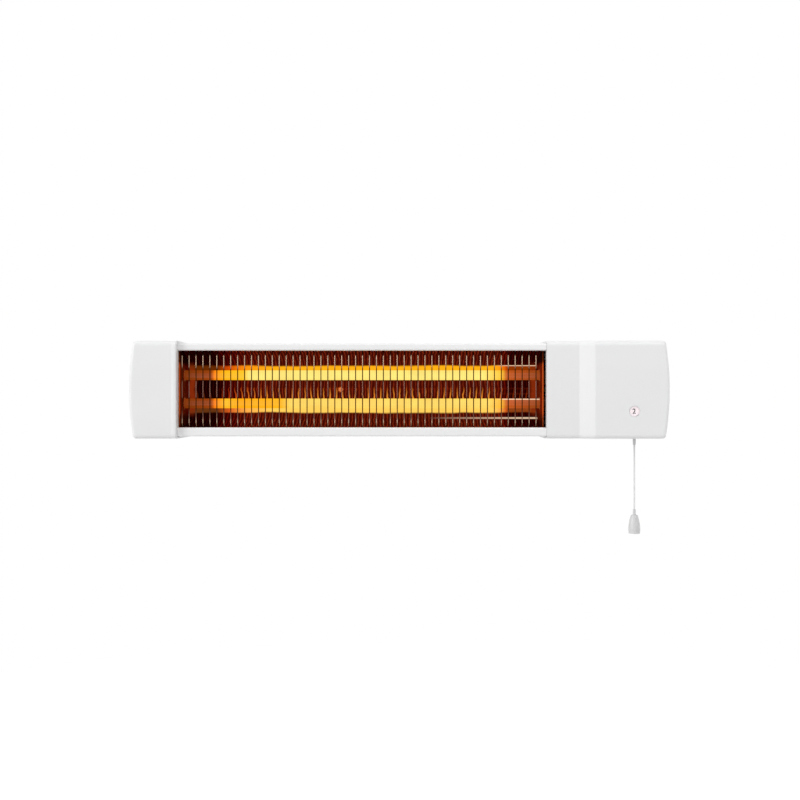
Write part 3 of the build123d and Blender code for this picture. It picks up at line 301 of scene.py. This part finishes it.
def threaded(name, colour, roughness):
    """Plated steel with a screw thread's ridges across X."""
    paint = plated(name, colour, roughness)
    paint.bump(paint.ripples(THREAD_PITCH), THREAD_DEPTH, strength=0.8)
    return paint


def mineral(name, colour):
    """Unglazed ceramic with pits and slight staining."""
    paint = Paint(name)
    paint.mottle(paint.noise(STAIN_SIZE), dark=shade(colour, 0.88), light=colour, end=0.65)
    pits = paint.noise(PIT_SIZE)
    paint.roughen(pits, 0.6, 0.8)
    paint.bump(pits, PIT_DEPTH, strength=0.5)
    return paint


def elastic(name, colour):
    """Rubber or silicone sleeve with a dusty bloom."""
    paint = Paint(name)
    bloom = paint.noise(BLOOM_SIZE)
    paint.mottle(bloom, dark=colour, light=shade(colour, 1.35), end=0.75)
    paint.roughen(bloom, 0.5, 0.68)
    paint.bump(paint.noise(RUBBER_GRAIN_SIZE), RUBBER_GRAIN_DEPTH, strength=0.4)
    return paint


def knitted(name, colour):
    """Fine braided cord fibres."""
    paint = Paint(name, Sheen_Weight=0.3)
    fibres = paint.noise(FIBRE_SIZE, stretch=(1, 1, 9))
    paint.mottle(fibres, dark=shade(colour, 0.8), light=colour, start=0.35, end=0.65)
    paint.roughen(fibres, 0.7, 0.9)
    paint.bump(fibres, FIBRE_DEPTH, strength=0.6)
    return paint


def clear_lens(name, colour):
    """Tinted clear plastic, slightly frosted by its texture."""
    paint = Paint(name, IOR=1.49, Alpha=0.03)
    haze = paint.noise(HAZE_SIZE)
    paint.mottle(haze, dark=shade(colour, 0.96), light=colour)
    paint.roughen(haze, 0.06, 0.14)
    return paint


def painted_glow_dial(name, colour, strength):
    """White dial with a painted glow that stands in for the light falling in through its window."""
    paint = moulded(name, colour, roughness=0.5)
    paint.set(Emission_Color=opaque(colour), Emission_Strength=strength)
    return paint


def height_bands(paint, bands):
    """Colours by height: (Z in metres, colour) from the lowest up, blended between the named heights."""
    low, high = bands[0][0], bands[-1][0]
    height = paint.waver(paint.axis("Z"), BAND_WAVER_SIZE, stretch=(3, 1, 1))
    return paint.ramp(paint.spread(height, 0.0, 1.0, low, high), positions(bands, low, high))


def painted_band_metal(name, bands, roughness, stretch):
    """Plated metal coloured by height in bands that are mostly painted glow, highlights and shade, with fine
    drawing lines.
    """
    paint = Paint(name, Metallic=1.0, Specular_Tint=opaque(SCORCHED_TINT))
    paint.feed("Base Color", height_bands(paint, bands))
    lines = paint.noise(SCORCHED_LINE_SIZE, stretch)
    paint.roughen(lines, roughness * 0.75, roughness * 1.3)
    paint.bump(lines, METAL_LINE_DEPTH, strength=0.3)
    return paint


def with_glints(paint, colour, glints):
    """Lays painted highlights, thin level cream lines, over a colour: (Z, half height, X where it starts, X
    where it is full).
    """
    for z, half_height, start, end in glints:
        off = paint.math("ABSOLUTE", paint.math("SUBTRACT", paint.axis("Z"), z))
        line = paint.spread(off, 1.0, 0.0, 0.0, half_height)
        line = paint.multiply(line, paint.spread(paint.axis("X"), 0.0, 1.0, start, end))
        colour = paint.mix(line, colour, opaque(HIGHLIGHT_CREAM))
    return colour


def mirrored_wires(paint, pitch, thinness):
    """Mask of fine upright lines, a painted reflection of the guard in the sheet."""
    along = paint.waver(paint.axis("X"), MIRRORED_WAVER_SIZE, stretch=(1, 1, 2))
    wave = paint.math("COSINE", paint.multiply(along, 2 * pi / pitch))
    return paint.spread(wave, 0.0, 1.0, thinness, 1.0)


def mirrored_guard(paint):
    """Painted reflection of the guard: red light in broken lines, two to each wire."""
    breaks = paint.spread(paint.noise(MIRRORED_BREAK_SIZE), 0.2, 1.0)
    lines = paint.multiply(mirrored_wires(paint, MIRRORED_PITCH / 2, 0.0), breaks)
    return paint.mix(lines, opaque(BLACK), opaque(MIRRORED_RED))


def spikes(paint):
    """Mask of painted glow: the bright tongues of reflected light that stand on the lower tube and fade
    upwards.
    """
    height = paint.axis("Z")
    tongues = mirrored_wires(paint, MIRRORED_PITCH, SPIKE_THINNESS)
    tongues = paint.multiply(tongues, paint.spread(height, 1.0, 0.0, *SPIKE_SPAN))
    return paint.multiply(tongues, paint.spread(height, 0.0, 1.0, *SPIKE_ROOT))


def cooling(paint):
    """Tint of the glow along the heater: full over the lit winding, redder and darker past its ends."""
    start, end = LIT_SPAN
    along = paint.axis("X")
    rise = paint.spread(along, 0.0, 1.0, start, start + GLOW_RISE)
    fall = paint.spread(along, 1.0, AFTERGLOW, end - GLOW_FALL, end)
    return paint.ramp(paint.multiply(rise, fall), COOLING)


def sheet_ends(paint):
    """Mask of the reflector's two ends, where a painted reflection of the end plates' glow lies."""
    low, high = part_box("reflector")
    along = paint.axis("X")
    near_left = paint.spread(along, 1.0, 0.0, low.x + END_REACH / 2, low.x + END_REACH)
    near_right = paint.spread(along, 0.0, 1.0, high.x - END_REACH, high.x - END_REACH / 2)
    near_end = paint.math("MAXIMUM", near_left, near_right)
    level = paint.math("ABSOLUTE", paint.axis("Z"))
    return paint.multiply(near_end, paint.spread(level, 1.0, 0.0, *END_EDGE))


def glow_painted_reflector(name, bands, glow_bands, glints):
    """Polished reflector sheet with its base painted dark in bands as mirrored shade, and painted reflections
    of the tubes' glow beside them.
    """
    paint = Paint(name, Metallic=1.0, Specular_Tint=opaque(REFLECTOR_TINT), Emission_Strength=1.0)
    paint.feed("Base Color", height_bands(paint, bands))
    paint.roughen(paint.noise(REFLECTOR_LINE_SIZE, stretch=(40, 1, 1)), 0.015, 0.04)
    paint.bump(paint.noise(REFLECTOR_WAVE_SIZE, detail=1.0), REFLECTOR_WAVE_DEPTH, strength=0.4)
    # Emission, all painted light: reflections of the tubes' glow and of the guard, glowing tongues over the
    # lower tube, reflections of the end plates at the ends, and highlights
    colour = paint.blend("ADD", height_bands(paint, glow_bands), mirrored_guard(paint))
    colour = paint.mix(spikes(paint), colour, opaque(SPIKE))
    colour = paint.blend("MULTIPLY", colour, cooling(paint))
    colour = paint.mix(sheet_ends(paint), colour, opaque(END_GLOW))
    paint.feed("Emission Color", with_glints(paint, colour, glints))
    return paint


def glowing_tube(name, stops, glints=()):
    """Satin quartz lit from within: the glow follows the winding inside and fades into darker cold ends."""
    paint = Paint(name, Roughness=0.3, Specular_IOR_Level=0.2, Coat_Weight=0.05)
    paint.set(Base_Color=opaque(DARK_QUARTZ))
    along = paint.spread(paint.axis("X"), 0.0, 1.0, *TUBE_SPAN)
    colour = paint.ramp(along, positions(stops, *TUBE_SPAN))
    # Painted highlights, where given, lie over the glow
    paint.feed("Emission Color", with_glints(paint, colour, glints))
    cloud = paint.noise(QUARTZ_CLOUD_SIZE, stretch=(1.5, 1, 1))
    glow = paint.spread(cloud, TUBE_GLOW * 0.93, TUBE_GLOW * 1.05)
    turns = paint.spread(paint.ripples(WINDING_PITCH), 0.94, 1.03, 0.0, 1.0)
    paint.feed("Emission Strength", paint.multiply(glow, turns))
    return paint


def hot_wire(name, colour, strength):
    """Resistance wire at work, brighter in patches."""
    paint = Paint(name, Metallic=0.6, Roughness=0.5)
    paint.set(Base_Color=opaque(WIRE_OXIDE), Emission_Strength=strength)
    patches = paint.noise(HOT_PATCH_SIZE)
    paint.feed("Emission Color", paint.ramp(patches, [(0.3, shade(colour, 0.85)), (0.7, colour)]))
    return paint


# Colours. Painted light among them: the reflector's dark base, the guard's highlight, shade and darker tones,
# the end plates' orange, and the glow, spike, end, mirrored and cream tones painted as reflections and
# highlights
BLACK = (0.0, 0.0, 0.0)
WHITE = (1.0, 1.0, 1.0)
PLASTIC_WHITE = (0.86, 0.86, 0.865)
ENAMEL_WHITE = (0.90, 0.90, 0.905)
YELLOW = (1.0, 0.79, 0.19)
AMBER = (1.0, 0.46, 0.008)
EMBER = (0.30, 0.05, 0.004)
BRIGHT_EMBER = (0.50, 0.09, 0.012)
MIRROR_SHADE_MAROON = (0.035, 0.005, 0.002)
HEAT_DARK_AND_SHADED = (0.035, 0.014, 0.003)
BRONZED = (0.20, 0.10, 0.075)
WIRE_HIGHLIGHT = (0.42, 0.30, 0.21)
WIRE_SHADE = (0.03, 0.012, 0.008)
PLATE_GLOW_ORANGE = (0.60, 0.095, 0.015)
DARK_QUARTZ = (0.05, 0.012, 0.003)
WIRE_OXIDE = (0.2, 0.1, 0.06)
REFLECTOR_TINT = (0.25, 0.05, 0.02)
SCORCHED_TINT = (0.20, 0.10, 0.05)
DIM_GLOW = (0.055, 0.003, 0.001)
HIGHLIGHT_CREAM = (1.0, 0.72, 0.48)
SPIKE = (1.0, 0.33, 0.03)
END_GLOW = (0.22, 0.022, 0.003)
MIRRORED_RED = (0.20, 0.022, 0.005)
UPPER_GLOW = (1.0, 0.44, 0.006)
LOWER_GLOW = (1.0, 0.64, 0.11)

# From no glow to all of it
COOLING = [
    (0.0, (0.12, 0.05, 0.05)),
    (0.22, (0.6, 0.16, 0.12)),
    (0.55, (1.0, 0.68, 0.65)),
    (1.0, WHITE),
]

# Colours of the tubes by X
upper_tube_stops = [
    (-0.222, shade(EMBER, 0.6)),
    (-0.193, EMBER),
    (-0.190, (1.0, 0.24, 0.006)),
    (-0.180, AMBER),
    (-0.160, (1.0, 0.58, 0.02)),
    (-0.155, YELLOW),
    (0.085, YELLOW),
    (0.104, (1.0, 0.55, 0.03)),
    (0.109, BRIGHT_EMBER),
    (0.140, shade(BRIGHT_EMBER, 0.6)),
]
lower_tube_stops = [
    (-0.222, shade(EMBER, 0.6)),
    (-0.193, EMBER),
    (-0.190, (1.0, 0.22, 0.006)),
    (-0.178, (1.0, 0.52, 0.02)),
    (-0.165, (1.0, 0.40, 0.006)),
    (-0.122, (1.0, 0.46, 0.012)),
    (-0.112, (1.0, 0.66, 0.12)),
    (0.090, (1.0, 0.68, 0.13)),
    (0.104, (1.0, 0.48, 0.03)),
    (0.109, BRIGHT_EMBER),
    (0.140, shade(BRIGHT_EMBER, 0.6)),
]
# Painted highlight: a cream line at the top of the lower tube's cold right end
lower_tube_glints = [(-10.2 * MM, 1.0 * MM, 98 * MM, 108 * MM)]

# Colours of the metal by height, most of them painted light and shade
# Painted shade: the reflector's base is near-black maroon, darker still towards its top and bottom edges,
# standing in for the dark room that the polished sheet would mirror
reflector_shade_bands = [
    (-40 * MM, shade(MIRROR_SHADE_MAROON, 0.6)),
    (-28 * MM, MIRROR_SHADE_MAROON),
    (28 * MM, MIRROR_SHADE_MAROON),
    (40 * MM, shade(MIRROR_SHADE_MAROON, 0.6)),
]
# Painted reflections of the tubes' glow on the reflector, by height
glow_bands = [
    (-40 * MM, shade(DIM_GLOW, 0.9)),
    (-25 * MM, DIM_GLOW),
    (-23.5 * MM, LOWER_GLOW),
    (-19 * MM, LOWER_GLOW),
    (-16 * MM, DIM_GLOW),
    (16 * MM, DIM_GLOW),
    (19 * MM, UPPER_GLOW),
    (24 * MM, UPPER_GLOW),
    (25.5 * MM, DIM_GLOW),
    (40 * MM, shade(DIM_GLOW, 0.9)),
]
# Painted highlights on the reflector: a long cream line low down and a short one above the upper tube, both
# brightening towards the right
reflector_glints = [
    (-29.8 * MM, 1.2 * MM, 30 * MM, 125 * MM),
    (25.0 * MM, 0.6 * MM, 100 * MM, 112 * MM),
]
# Painted glow on the end plates: orange between the tubes, painted shade above and below
plate_glow_bands = [
    (-42 * MM, shade(PLATE_GLOW_ORANGE, 0.2)),
    (-29 * MM, shade(PLATE_GLOW_ORANGE, 0.5)),
    (-24 * MM, PLATE_GLOW_ORANGE),
    (24 * MM, PLATE_GLOW_ORANGE),
    (28 * MM, shade(PLATE_GLOW_ORANGE, 0.2)),
    (42 * MM, shade(PLATE_GLOW_ORANGE, 0.1)),
]
# Painted highlights and shade on the guard's wires: light bands where they catch the light, a dark band above
# the top bend, and darker over the tubes, partly heat tone and partly painted shade
wire_bands = [
    (-42 * MM, BRONZED),
    (-35 * MM, WIRE_HIGHLIGHT),
    (-32 * MM, WIRE_HIGHLIGHT),
    (-29 * MM, BRONZED),
    (-20 * MM, HEAT_DARK_AND_SHADED),
    (-9 * MM, HEAT_DARK_AND_SHADED),
    (-7 * MM, BRONZED),
    (7 * MM, BRONZED),
    (9 * MM, HEAT_DARK_AND_SHADED),
    (20 * MM, HEAT_DARK_AND_SHADED),
    (24 * MM, WIRE_HIGHLIGHT),
    (32.5 * MM, WIRE_HIGHLIGHT),
    (34.5 * MM, WIRE_SHADE),
    (42 * MM, WIRE_SHADE),
]

# By material slot. The quartz and the heating wire are dressed piece by piece.
paints = {
    "white_housing": moulded("white_housing", PLASTIC_WHITE, roughness=0.42, softness=HOUSING_EDGE_SOFTNESS),
    "white_enamel": enamelled("white_enamel", ENAMEL_WHITE),
    "zinc_steel": plated("zinc_steel", (0.43, 0.44, 0.46), roughness=0.40),
    "polished_reflector": glow_painted_reflector("polished_reflector", reflector_shade_bands, glow_bands, reflector_glints),
    "plate_steel": painted_band_metal("plate_steel", plate_glow_bands, roughness=0.45, stretch=(1, 1, 14)),
    "guard_chrome": painted_band_metal("guard_chrome", wire_bands, roughness=0.22, stretch=(1, 1, 10)),
    "ceramic_white": mineral("ceramic_white", (0.72, 0.68, 0.60)),
    "terminal_brass": plated("terminal_brass", (0.72, 0.52, 0.22), roughness=0.3),
    "dial_white": painted_glow_dial("dial_white", (0.93, 0.84, 0.86), strength=0.42),
    "switch_plastic": moulded("switch_plastic", (0.025, 0.025, 0.028), roughness=0.45),
    "clear_window": clear_lens("clear_window", (0.95, 0.88, 0.88)),
    "grey_rubber": elastic("grey_rubber", (0.05, 0.05, 0.055)),
    "friction_fibre": elastic("friction_fibre", (0.02, 0.018, 0.016)),
    "cord_white": knitted("cord_white", (0.92, 0.92, 0.92)),
    "knob_grey": moulded("knob_grey", (0.67, 0.67, 0.67), roughness=0.38),
    "lead_brown": elastic("lead_brown", (0.12, 0.045, 0.02)),
    "lead_blue": elastic("lead_blue", (0.03, 0.09, 0.32)),
    "lead_green": elastic("lead_green", (0.06, 0.20, 0.03)),
    "spring_steel": plated("spring_steel", (0.38, 0.38, 0.40), roughness=0.3),
}
glowing_wire = hot_wire("heating_wire", (1.0, 0.62, 0.10), strength=2.5)
# The tubes' end ceramics are coloured orange-brown
orange_brown_ceramic = mineral("orange_brown_ceramic", (0.42, 0.15, 0.05))


def dress(piece, paint):
    piece.data.materials.clear()
    piece.data.materials.append(paint.material)


for entry in frame["record"]["subparts"]:
    if entry["material_slot"] in paints:
        dress(nodes[entry["node"]], paints[entry["material_slot"]])
dress(nodes["upper_quartz_tube"], glowing_tube("quartz_upper", upper_tube_stops))
dress(nodes["lower_quartz_tube"], glowing_tube("quartz_lower", lower_tube_stops, lower_tube_glints))
dress(nodes["tilt_bolts"], threaded("bolt_thread", (0.42, 0.43, 0.45), roughness=0.36))
# Painted light: the rivet is coloured bright orange to stand in for the tubes' glow on it
dress(nodes["reflector_rivet"], plated("glow_lit_rivet", (0.85, 0.24, 0.07), roughness=0.2))
dress(nodes["left_tube_ceramics"], orange_brown_ceramic)
dress(nodes["right_tube_ceramics"], orange_brown_ceramic)


# Fine pieces


def shown(name, data):
    """New object that is linked into the scene."""
    piece = bpy.data.objects.new(name, data)
    bpy.context.scene.collection.objects.link(piece)
    return piece


def finished(name, shape, smooth=True):
    """Turns a bmesh into a shown object with outward normals."""
    bmesh.ops.recalc_face_normals(shape, faces=shape.faces)
    for face in shape.faces:
        face.smooth = smooth
    mesh = bpy.data.meshes.new(name)
    shape.to_mesh(mesh)
    shape.free()
    return shown(name, mesh)


def drawn_mesh(name, curve):
    """Mesh of a text or curve as Blender draws it."""
    source = shown(name, curve)
    bpy.context.view_layer.update()
    mesh = bpy.data.meshes.new_from_object(source.evaluated_get(bpy.context.evaluated_depsgraph_get()))
    bpy.data.objects.remove(source)
    return mesh


def tube_mesh(name, routes, radius, sides):
    """Closed round tubes of one radius along the given routes of points."""
    shape = bmesh.new()
    angles = [2 * pi * side / sides for side in range(sides)]
    for route in routes:
        rings = []
        across = None
        for index, point in enumerate(route):
            before = route[max(index - 1, 0)]
            after = route[min(index + 1, len(route) - 1)]
            ahead = (after - before).normalized()
            guess = across if across else ahead.orthogonal()
            across = (guess - ahead * guess.dot(ahead)).normalized()
            up = ahead.cross(across)
            rings.append([shape.verts.new(point + radius * (across * cos(a) + up * sin(a))) for a in angles])
        for first, second in zip(rings, rings[1:]):
            for side in range(sides):
                following = (side + 1) % sides
                shape.faces.new((first[side], first[following], second[following], second[side]))
        shape.faces.new(reversed(rings[0]))
        shape.faces.new(rings[-1])
    return finished(name, shape)


def winding(node):
    """Coiled heating wire with straight ends, in place of the coil's plain sleeve."""
    low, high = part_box(node)
    middle = (low + high) / 2
    radius = (high.z - low.z) / 2 - WINDING_WIRE_RADIUS
    start, end = COIL_SPAN
    steps = round((end - start) / WINDING_PITCH) * STEPS_PER_TURN
    route = [Vector((x, middle.y, middle.z)) for x in (low.x, start - WINDING_LEAD)]
    for step in range(steps + 1):
        angle = 2 * pi * step / STEPS_PER_TURN
        x = start + (end - start) * step / steps
        route.append(Vector((x, middle.y + radius * sin(angle), middle.z + radius * cos(angle))))
    route += [Vector((x, middle.y, middle.z)) for x in (end + WINDING_LEAD, high.x)]
    piece = tube_mesh(node.replace("coil", "winding"), [route], WINDING_WIRE_RADIUS, WINDING_SIDES)
    dress(piece, glowing_wire)
    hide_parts(node)
    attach(piece, "heater")


winding("upper_heating_coil")
winding("lower_heating_coil")


def digit_mesh(name, digit):
    """Mesh of one plain digit, centred on the origin and facing +Z."""
    text = bpy.data.curves.new(name, "FONT")
    text.body = digit
    text.size = DIGIT_HEIGHT * FONT_FACTOR
    text.extrude = DIGIT_THICKNESS / 2
    text.offset = DIGIT_BOLDNESS
    text.align_x = "CENTER"
    text.align_y = "CENTER"
    return drawn_mesh(name, text)


def dial_digits():
    """Plain digits round the dial, the one at the window upright."""
    disc_low, disc_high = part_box("indicator_disc")
    window_low, window_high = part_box("indicator_window")
    centre = (disc_low + disc_high) / 2
    to_window = (window_low + window_high) / 2 - centre
    for index, digit in enumerate(DIAL_DIGITS):
        mesh = digit_mesh(f"digit_{index}", digit)
        turn = 2 * pi * index / len(DIAL_DIGITS)
        for vertex in mesh.vertices:
            x = to_window.x + vertex.co.x
            z = to_window.z + vertex.co.y
            vertex.co = (
                centre.x + x * cos(turn) - z * sin(turn),
                disc_low.y - DIGIT_THICKNESS / 2 - vertex.co.z,
                centre.z + x * sin(turn) + z * cos(turn),
            )
        piece = shown(f"dial_digit_{index}", mesh)
        dress(piece, paints["switch_plastic"])
        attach(piece, "selector")


dial_digits()


def spline_line(points, resolution):
    """Points read from the smooth NURBS spline of a cord's route."""
    curve = bpy.data.curves.new("cord_route", "CURVE")
    curve.dimensions = "3D"
    curve.resolution_u = resolution
    spline = curve.splines.new("NURBS")
    spline.points.add(len(points) - 1)
    for control, point in zip(spline.points, points):
        control.co = (*point, 1)
    spline.order_u = 3
    spline.use_endpoint_u = True
    return [vertex.co.copy() for vertex in drawn_mesh("cord_route", curve).vertices]


def pull_cord():
    """Twisted cord from the drum to the knot in the knob."""
    low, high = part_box("pull_cord")
    middle = (low + high) / 2
    radius = (high.x - low.x) / 2
    guide_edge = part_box("cord_bush")[0].z
    heights = (high.z, guide_edge - CORD_LEAD * 2 * radius, low.z)
    line = spline_line([(middle.x, middle.y, z) for z in heights], CORD_RESOLUTION)
    strand_radius = radius * STRAND_SHARE
    routes = []
    for strand in range(STRAND_COUNT):
        route = []
        for point in line:
            angle = 2 * pi * (strand / STRAND_COUNT + (high.z - point.z) / STRAND_TURN_LENGTH)
            route.append(point + Vector((cos(angle), sin(angle), 0)) * (radius - strand_radius))
        routes.append(route)
    piece = tube_mesh("pull_cord_strands", routes, strand_radius, STRAND_SIDES)
    dress(piece, paints["cord_white"])
    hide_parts("pull_cord")
    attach(piece, "pull")


pull_cord()


# Studio


def seen_directly(tree):
    """1 on rays from the camera and on those that gloss or glass send on, otherwise 0."""
    path = tree.nodes.new("ShaderNodeLightPath")
    seen = path.outputs["Is Camera Ray"]
    for kind in ("Is Glossy Ray", "Is Transmission Ray"):
        larger = tree.nodes.new("ShaderNodeMath")
        larger.operation = "MAXIMUM"
        tree.links.new(seen, larger.inputs[0])
        tree.links.new(path.outputs[kind], larger.inputs[1])
        seen = larger.outputs[0]
    return seen


def plain_paper(name, colour):
    """Pale backdrop that shows as plain white paper."""
    paint = Paint(name, Base_Color=opaque(colour), Roughness=0.9, Emission_Color=opaque(WHITE))
    paint.feed("Emission Strength", seen_directly(paint.tree))
    return paint


def paper_room():
    """White all round where it is seen directly, and soft light on everything else."""
    world = bpy.data.worlds.new("studio")
    bpy.context.scene.world = world
    world.use_nodes = True
    tree = world.node_tree
    soft = tree.nodes["Background"]
    paper = tree.nodes.new("ShaderNodeBackground")
    for background, strength in ((soft, AMBIENT), (paper, 1.0)):
        background.inputs["Color"].default_value = opaque(WHITE)
        background.inputs["Strength"].default_value = strength
    seen_or_lit = tree.nodes.new("ShaderNodeMixShader")
    tree.links.new(seen_directly(tree), seen_or_lit.inputs[0])
    tree.links.new(soft.outputs[0], seen_or_lit.inputs[1])
    tree.links.new(paper.outputs[0], seen_or_lit.inputs[2])
    tree.links.new(seen_or_lit.outputs[0], tree.nodes["World Output"].inputs["Surface"])


def soft_box(name, place, size, watts):
    """Rectangular lamp that faces the middle of the heater's front."""
    lamp = bpy.data.lights.new(name, "AREA")
    lamp.shape = "RECTANGLE"
    lamp.size, lamp.size_y = size
    lamp.energy = watts
    box = shown(name, lamp)
    box.location = place
    box.rotation_mode = "QUATERNION"
    box.rotation_quaternion = (Vector(AIM) - Vector(place)).to_track_quat("-Z", "Y")


floor_shape = bmesh.new()
bmesh.ops.create_circle(floor_shape, cap_ends=True, radius=FLOOR_RADIUS, segments=FLOOR_SIDES)
bmesh.ops.translate(floor_shape, verts=floor_shape.verts, vec=(0, FLOOR_Y, FLOOR_Z))
floor = finished("studio_floor", floor_shape, smooth=False)
dress(floor, plain_paper("floor_paper", FLOOR_GREY))

paper_room()
for name, settings in SOFT_BOXES.items():
    soft_box(name, **settings)

camera_data = bpy.data.cameras.new("camera")
camera_data.lens = LENS
camera_data.sensor_width = SENSOR_WIDTH
camera = shown("camera", camera_data)
camera.location = (0, RAIL_FRONT_Y - CAMERA_DISTANCE, CAMERA_HEIGHT)
camera.rotation_euler = (radians(90), 0, 0)
bpy.context.scene.camera = camera

view = bpy.context.scene.view_settings
view.view_transform = "Standard"
